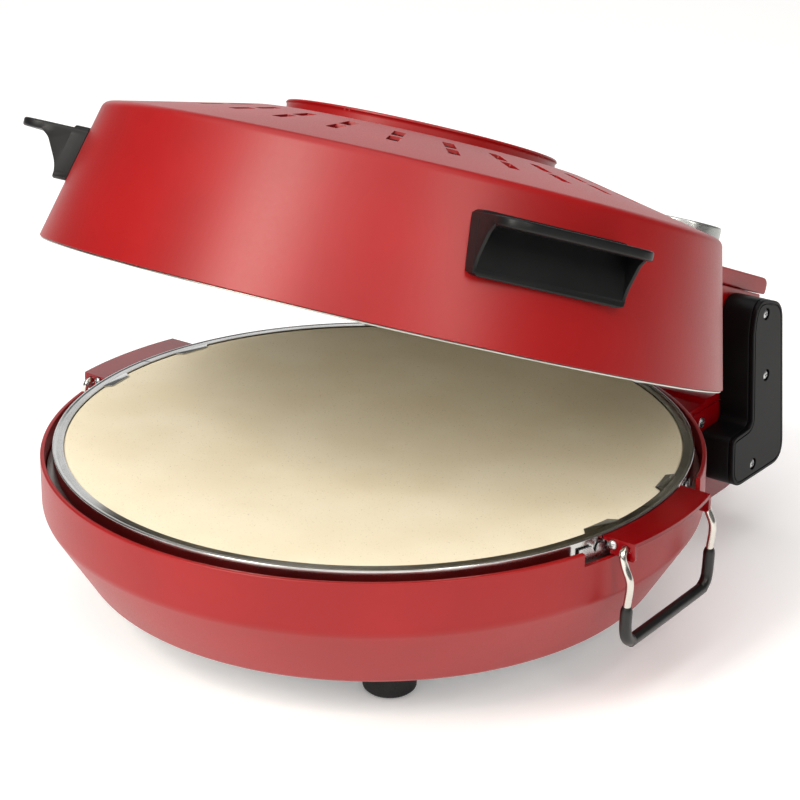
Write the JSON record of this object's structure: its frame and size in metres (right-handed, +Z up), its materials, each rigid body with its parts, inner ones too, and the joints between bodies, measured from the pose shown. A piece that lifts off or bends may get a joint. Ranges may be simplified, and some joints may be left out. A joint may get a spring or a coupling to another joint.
{
  "type": "countertop pizza oven",
  "caption": "Round countertop pizza oven: base with baking stone, vented domed lid on two floating hinge arms, shelf handles, control knob and wire side bails.",
  "frame": {"origin": "centre of the bounding box's bottom face, on the surface the feet stand on", "axes": "+Z up, -Y towards the user, +Y towards the hinge, +X to the user's right"},
  "size_m": [0.3594, 0.3754, 0.2684],
  "materials": {
    "red_paint": "satin red stove enamel on sheet steel",
    "gloss_red_paint": "gloss dark red enamel on folded sheet",
    "black_plastic": "fine-textured heat-proof black plastic",
    "grip_plastic": "smooth satin black sleeve",
    "foot_rubber": "matt black rubber",
    "bright_wire": "bright nickel-plated wire",
    "chromed_ring": "bright rolled steel ring",
    "baking_stone": "pale unglazed refractory stone",
    "aluminised_sheet": "dull aluminised sheet",
    "element_sheath": "dark oxidised heater sheath",
    "element_ceramic": "off-white unglazed ceramic",
    "knob_silver": "satin silver",
    "plain_steel": "zinc-plated steel"
  },
  "bodies": {
    "base": {"bail_bracket_left": "gloss_red_paint", "bail_bracket_right": "gloss_red_paint", "base_liner": "aluminised_sheet", "base_shell": "red_paint", "bottom_plate": "plain_steel", "bracket_screw_left": "plain_steel", "bracket_screw_right": "plain_steel", "cord_gland": "foot_rubber", "foot_front_left": "foot_rubber", "foot_front_right": "foot_rubber", "foot_rear_left": "foot_rubber", "foot_rear_right": "foot_rubber", "hinge_housing": "gloss_red_paint", "housing_cover": "gloss_red_paint", "housing_screw_left": "plain_steel", "housing_screw_right": "plain_steel", "lower_element": "element_sheath", "lower_element_block": "element_ceramic", "lower_pivot_left": "plain_steel", "lower_pivot_right": "plain_steel", "lower_washer_left": "plain_steel", "lower_washer_right": "plain_steel", "pizza_stone": "baking_stone", "stone_ring_front": "chromed_ring", "stone_ring_rear": "chromed_ring", "terminal_block": "element_ceramic", "thermal_cutout": "plain_steel"},
    "hinge_arms": {"arm_cover_left": "black_plastic", "arm_cover_right": "black_plastic", "arm_lead": "foot_rubber", "arm_screw_bottom_left": "plain_steel", "arm_screw_bottom_right": "plain_steel", "arm_screw_mid_left": "plain_steel", "arm_screw_mid_right": "plain_steel", "arm_screw_top_left": "plain_steel", "arm_screw_top_right": "plain_steel", "arm_shell_left": "black_plastic", "arm_shell_right": "black_plastic", "upper_pivot_left": "plain_steel", "upper_pivot_right": "plain_steel", "upper_washer_left": "plain_steel", "upper_washer_right": "plain_steel"},
    "lid": {"lid_shell": "red_paint", "stand_ring": "red_paint", "lid_liner": "aluminised_sheet", "upper_element": "element_sheath", "upper_element_block": "element_ceramic", "lid_hinge_box": "red_paint", "lid_hinge_cap": "red_paint", "handle_left": "black_plastic", "handle_right": "black_plastic", "thermostat": "plain_steel"},
    "knob": {"control_knob": "knob_silver"},
    "bail_right": {"bail_wire_right": "bright_wire", "bail_grip_right": "grip_plastic"},
    "bail_left": {"bail_wire_left": "bright_wire", "bail_grip_left": "grip_plastic"}
  },
  "joints": [
    {"name": "arm_swing", "type": "hinge", "parent": "base", "child": "hinge_arms", "pos_m": [0, 0.14226, 0.0456], "axis": [-1, 0, 0], "range_deg": [-7, 83.7]},
    {"name": "lid_tilt", "type": "hinge", "parent": "hinge_arms", "child": "lid", "pos_m": [0, 0.14774, 0.12875], "axis": [-1, 0, 0], "range_deg": [-14, 75.2]},
    {"name": "knob_turn", "type": "hinge", "parent": "lid", "child": "knob", "pos_m": [0.12008, 0.07038, 0.19149], "axis": [0, 0.3598, 0.933], "range_deg": [0, 270]},
    {"name": "bail_swing_right", "type": "hinge", "parent": "base", "child": "bail_right", "pos_m": [0.1687, -0.02114, 0.0823], "axis": [0, -1, 0], "range_deg": [0, 95]},
    {"name": "bail_swing_left", "type": "hinge", "parent": "base", "child": "bail_left", "pos_m": [-0.1687, -0.02114, 0.0823], "axis": [0, 1, 0], "range_deg": [0, 95]}
  ]
}
